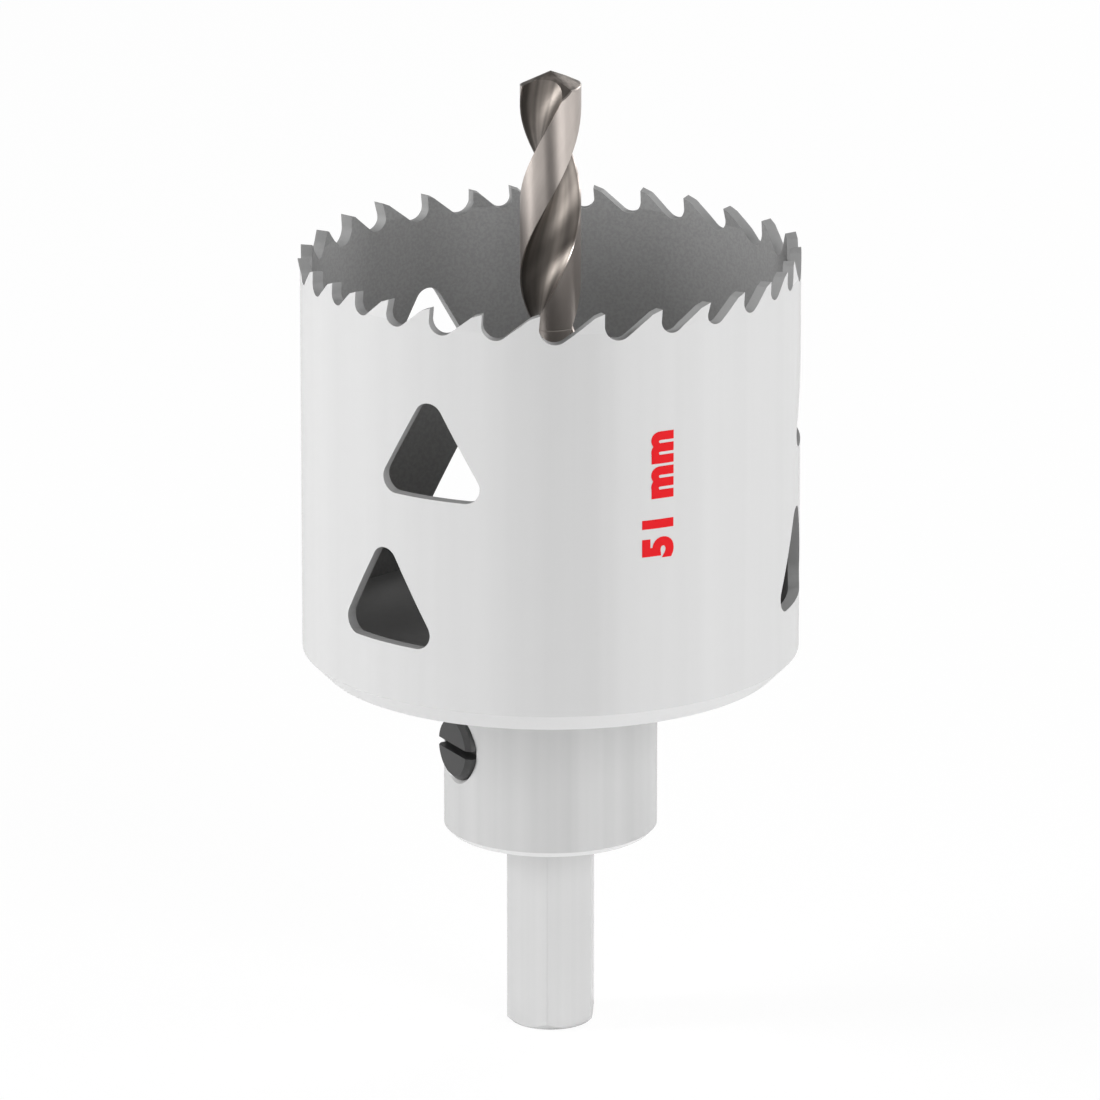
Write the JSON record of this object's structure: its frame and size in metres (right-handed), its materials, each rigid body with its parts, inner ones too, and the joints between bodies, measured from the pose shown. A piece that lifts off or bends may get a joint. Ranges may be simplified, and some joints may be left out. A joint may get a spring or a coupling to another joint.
{
  "type": "hole saw",
  "caption": "Hole saw: toothed steel cup with triangular chip windows on a collared arbor with hexagon shank, twist pilot drill and slotted grub screw.",
  "frame": {"origin": "centre of the hexagon shank's end face, on the spindle axis", "axes": "+Z along the spindle axis towards the pilot drill's tip; -Y is the side that faces the camera in the picture, +X is to its right"},
  "size_m": [0.0512, 0.051, 0.1013],
  "materials": {
    "cup_paint": "satin",
    "arbor_steel": "satin",
    "drill_steel": "ground",
    "screw_black": "black oxide"
  },
  "bodies": {
    "root": {"toothed_sleeve": "cup_paint", "end_cap": "cup_paint", "arbor": "arbor_steel", "pilot_drill": "drill_steel", "grub_screw": "screw_black"}
  },
  "joints": []
}
